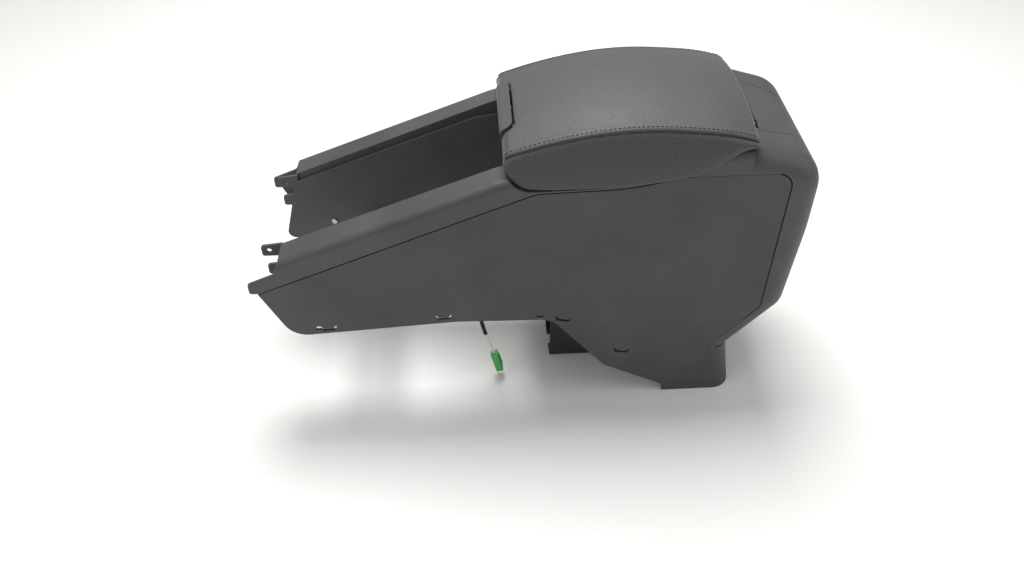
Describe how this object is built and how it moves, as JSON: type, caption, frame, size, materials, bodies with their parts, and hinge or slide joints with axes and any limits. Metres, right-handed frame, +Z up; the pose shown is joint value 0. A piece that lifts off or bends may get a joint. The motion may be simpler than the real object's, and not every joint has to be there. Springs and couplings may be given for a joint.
{
  "type": "center console",
  "caption": "Car center console with an open front channel between sloping rails and a hinged, padded armrest lid over a storage bin.",
  "frame": {"origin": "on the floor, under the middle of the console's length", "axes": "+X to the car's rear, +Y to the car's right, +Z up"},
  "size_m": [0.632, 0.2128, 0.398],
  "materials": {
    "frame_plastic": "fine grain, dark grey",
    "panel_plastic": "fine grain, dark grey",
    "carrier_plastic": "plain, near black",
    "paddle_plastic": "fine grain, dark grey",
    "leatherette": "soft grain, sewn",
    "steel": "zinc plated",
    "black_steel": "black coat",
    "rubber": "matte",
    "lens": "frosted",
    "tape": "wound cloth tape",
    "wire": "pale insulation",
    "connector": "green"
  },
  "bodies": {
    "console": {"console_frame": "frame_plastic", "side_panel_left": "panel_plastic", "side_panel_right": "panel_plastic", "carrier_wall_left": "carrier_plastic", "carrier_wall_right": "carrier_plastic", "carrier_crossbar": "carrier_plastic", "bin_support": "carrier_plastic", "rear_bulkhead": "carrier_plastic", "panel_screws": "steel", "storage_bin": "carrier_plastic", "bin_mat": "rubber", "bin_lamp_housing": "carrier_plastic", "bin_lamp_lens": "lens", "rear_cover": "frame_plastic", "floor_bracket": "black_steel", "bracket_screws": "steel", "hinge_bracket": "black_steel", "hinge_bracket_screws": "steel", "hinge_pin": "steel", "lid_bumpers": "rubber", "latch_striker": "steel", "harness_sleeve": "tape", "harness_wire_front": "wire", "harness_wire_rear": "wire", "wire_connector": "connector"},
    "armrest_lid": {"lid_base": "carrier_plastic", "lid_liner": "panel_plastic", "lid_screws": "steel", "hinge_leaf": "black_steel", "hinge_screws": "steel", "armrest_cushion": "leatherette", "paddle_pin": "steel", "paddle_spring": "steel"},
    "paddle": {"release_paddle": "paddle_plastic"}
  },
  "joints": [
    {"name": "lid_hinge", "type": "hinge", "parent": "console", "child": "armrest_lid", "pos_m": [0.24223, 0, 0.36323], "axis": [0, 1, 0], "range_deg": [0, 85]},
    {"name": "paddle_hinge", "type": "hinge", "parent": "armrest_lid", "child": "paddle", "pos_m": [-0.01658, 0, 0.36118], "axis": [0, 1, 0], "range_deg": [0, 12], "stiffness_Nm_per_rad": 0.1, "springref_deg": -8.59}
  ]
}
